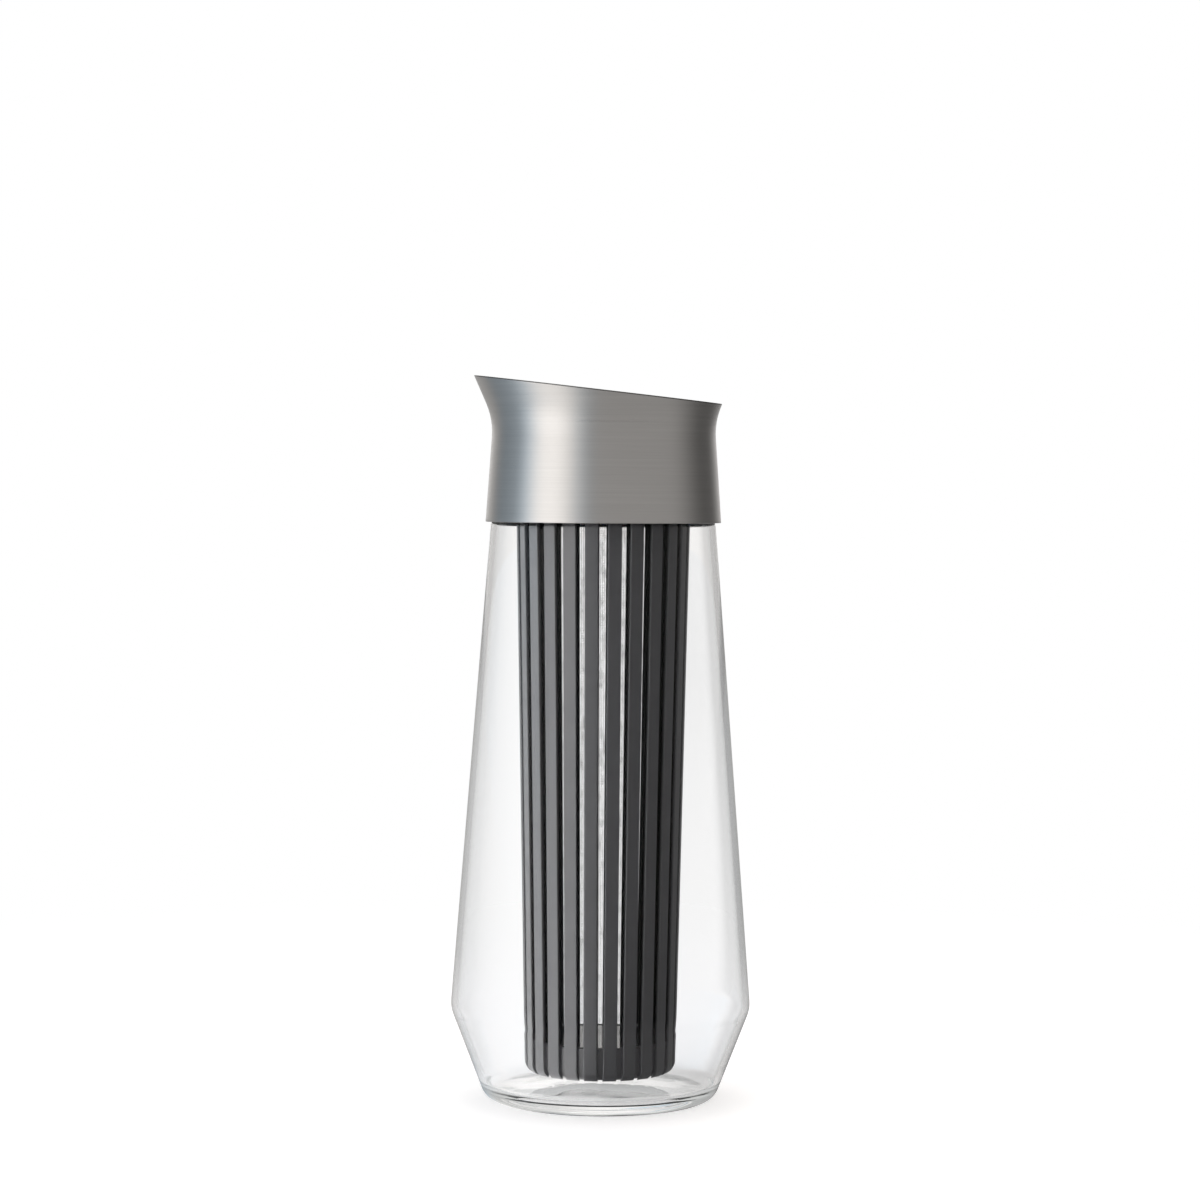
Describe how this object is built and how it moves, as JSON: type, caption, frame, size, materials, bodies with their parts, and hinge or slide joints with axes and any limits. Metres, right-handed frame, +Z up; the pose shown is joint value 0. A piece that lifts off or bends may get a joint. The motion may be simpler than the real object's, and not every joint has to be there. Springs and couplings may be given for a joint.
{
  "type": "cold brew carafe",
  "caption": "Tapered glass carafe with a slotted brewing filter hung in its neck and a lift-off steel collar whose sloped, flared rim pours past a swinging flap.",
  "frame": {"origin": "on the table under the middle of the glass foot", "axes": "+Z up along the body's axis, -X towards the spout, +X towards the flap's hinge, Y across"},
  "size_m": [0.1102, 0.1102, 0.2668],
  "materials": {
    "clear_glass": "clear, fire-polished",
    "cage_plastic": "dark grey, satin moulded",
    "mesh_cloth": "fine open weave",
    "collar_steel": "brushed round the axis",
    "liner_plastic": "black, fine moulded grain",
    "silicone": "milky, soft",
    "flap_steel": "brushed across",
    "pin_steel": "bright drawn"
  },
  "bodies": {
    "carafe": {"glass_body": "clear_glass"},
    "filter": {"filter_rim": "cage_plastic", "filter_ribs": "cage_plastic", "filter_mesh": "mesh_cloth", "filter_cup": "cage_plastic"},
    "lid": {"spout_collar": "collar_steel", "collar_liner": "liner_plastic", "neck_gasket": "silicone", "flap_pin": "pin_steel"},
    "flap": {"flap_frame": "liner_plastic", "flap_plate": "flap_steel", "flap_seal": "silicone"}
  },
  "joints": [
    {"name": "filter_lift", "type": "slide", "parent": "carafe", "child": "filter", "axis": [0, 0, 1], "range_m": [0, 0.24]},
    {"name": "lid_lift", "type": "slide", "parent": "filter", "child": "lid", "axis": [0, 0, 1], "range_m": [0, 0.06]},
    {"name": "flap_hinge", "type": "hinge", "parent": "lid", "child": "flap", "pos_m": [0.0278, 0, 0.2456], "axis": [0, 1, 0], "range_deg": [0, 80]}
  ]
}
